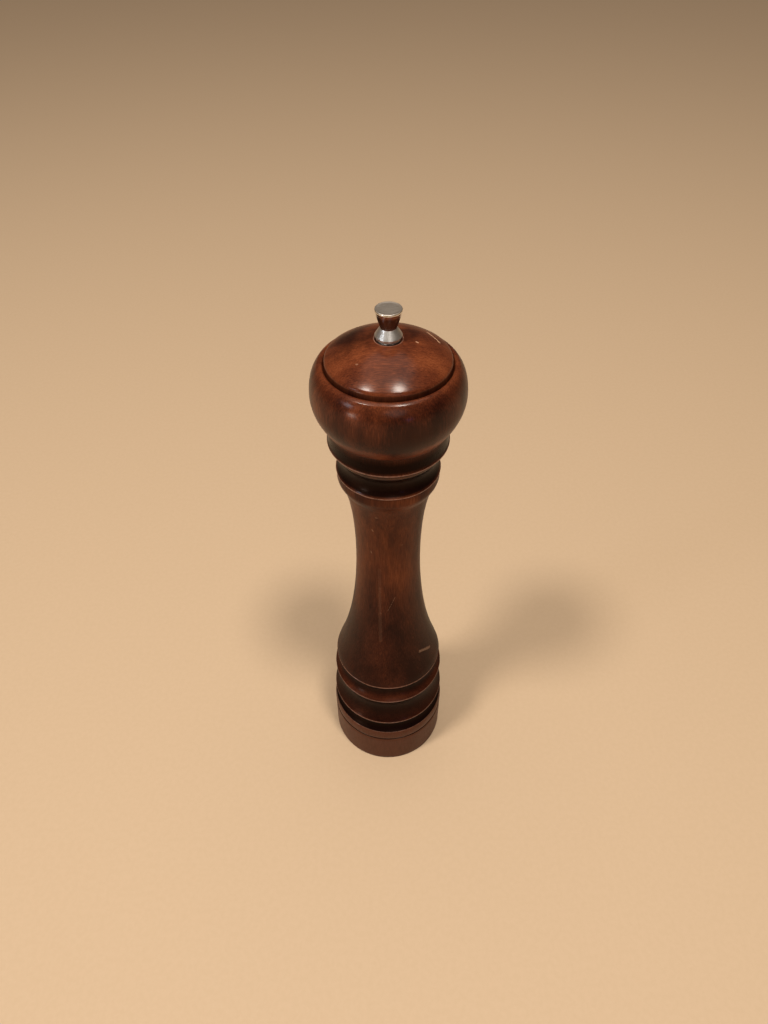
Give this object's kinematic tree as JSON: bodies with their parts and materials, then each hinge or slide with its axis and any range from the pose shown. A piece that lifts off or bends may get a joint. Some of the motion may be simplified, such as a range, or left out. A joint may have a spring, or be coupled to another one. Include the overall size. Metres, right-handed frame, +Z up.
{
  "type": "pepper mill",
  "caption": "Turned wooden pepper mill with a rounded knob head, steel finial nut, square drive spindle and steel grinding burrs set in the foot.",
  "frame": {"origin": "centre of the foot's flat underside, where the mill stands", "axes": "+Z up along the turning axis from the foot to the finial; X runs along the crossbar, through both of its screws"},
  "size_m": [0.0568, 0.0568, 0.254],
  "materials": {
    "walnut_body": "dark stained, satin lacquer",
    "walnut_head": "dark stained, glossy lacquer",
    "polished_steel": "polished, fine brushed top",
    "plated_steel": "zinc plated, satin",
    "screw_steel": "zinc plated",
    "bar_steel": "drawn bar, satin",
    "burr_steel": "hardened, dull grey",
    "spring_steel": "drawn wire, bright",
    "brass": "turned, satin"
  },
  "bodies": {
    "body": {"mill_body": "walnut_body", "stator_burr": "burr_steel", "spring_bracket": "plated_steel", "crossbar": "plated_steel", "crossbar_screw_1": "screw_steel", "crossbar_screw_2": "screw_steel"},
    "turning_washer": {"thrust_washer": "brass", "spring": "spring_steel"},
    "spindle": {"spindle": "bar_steel", "rotor_burr": "burr_steel", "rotor_washer": "plated_steel", "retaining_clip": "spring_steel"},
    "head": {"mill_head": "walnut_head", "drive_plate": "plated_steel", "drive_plate_screw_1": "screw_steel", "drive_plate_screw_2": "screw_steel", "finial_washer": "plated_steel"},
    "finial": {"finial_nut": "polished_steel"}
  },
  "joints": [
    {"name": "mill_turn", "type": "hinge", "parent": "body", "child": "turning_washer", "pos_m": [0, 0, 0], "axis": [0, 0, 1], "continuous": true},
    {"name": "head_lift", "type": "slide", "parent": "turning_washer", "child": "head", "axis": [0, 0, 1], "range_m": [0, 0.09]},
    {"name": "finial_turn", "type": "hinge", "parent": "head", "child": "finial", "pos_m": [0, 0, 0.2434], "axis": [0, 0, 1], "range_deg": [-360.5, 720.5]},
    {"name": "grind_adjust", "type": "slide", "parent": "turning_washer", "child": "spindle", "axis": [0, 0, 1], "range_m": [-0.0014, 0.0007], "deforming": ["spring"]}
  ],
  "couplings": [
    {"joint": "finial_turn", "follows": "grind_adjust", "rad_per_m": -8976}
  ]
}
